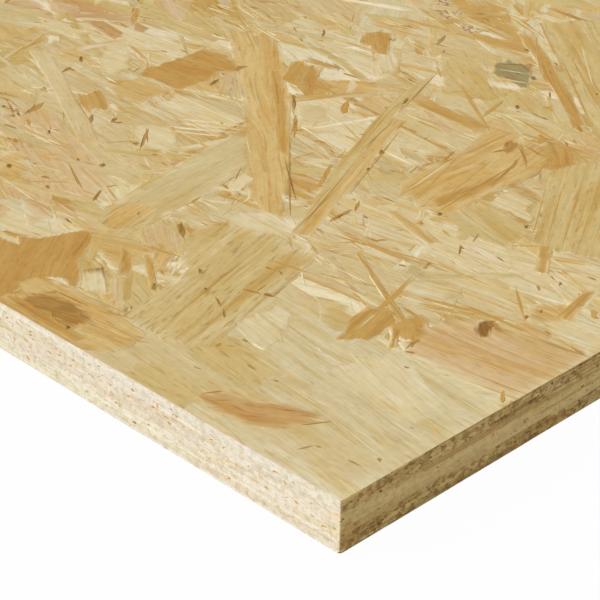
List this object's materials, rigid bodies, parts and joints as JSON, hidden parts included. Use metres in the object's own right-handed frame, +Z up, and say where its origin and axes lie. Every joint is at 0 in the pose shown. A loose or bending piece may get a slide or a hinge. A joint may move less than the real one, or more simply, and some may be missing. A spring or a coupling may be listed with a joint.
{
  "type": "osb panel",
  "caption": "Flat rectangular oriented strand board panel with sawn square edges, a building sheet for flooring, roof and wall sheathing, packing and shelving.",
  "frame": {"origin": "centre of the under face, on the surface that the panel lies on", "axes": "+X along the length and the face strands, +Y across the width, +Z up through the thickness"},
  "size_m": [1.22, 0.61, 0.018],
  "materials": {
    "strand_board": "matt pressed wood strands, unsanded and unsealed, with raw sawn edges"
  },
  "bodies": {
    "root": {"osb_panel": "strand_board"}
  },
  "joints": []
}
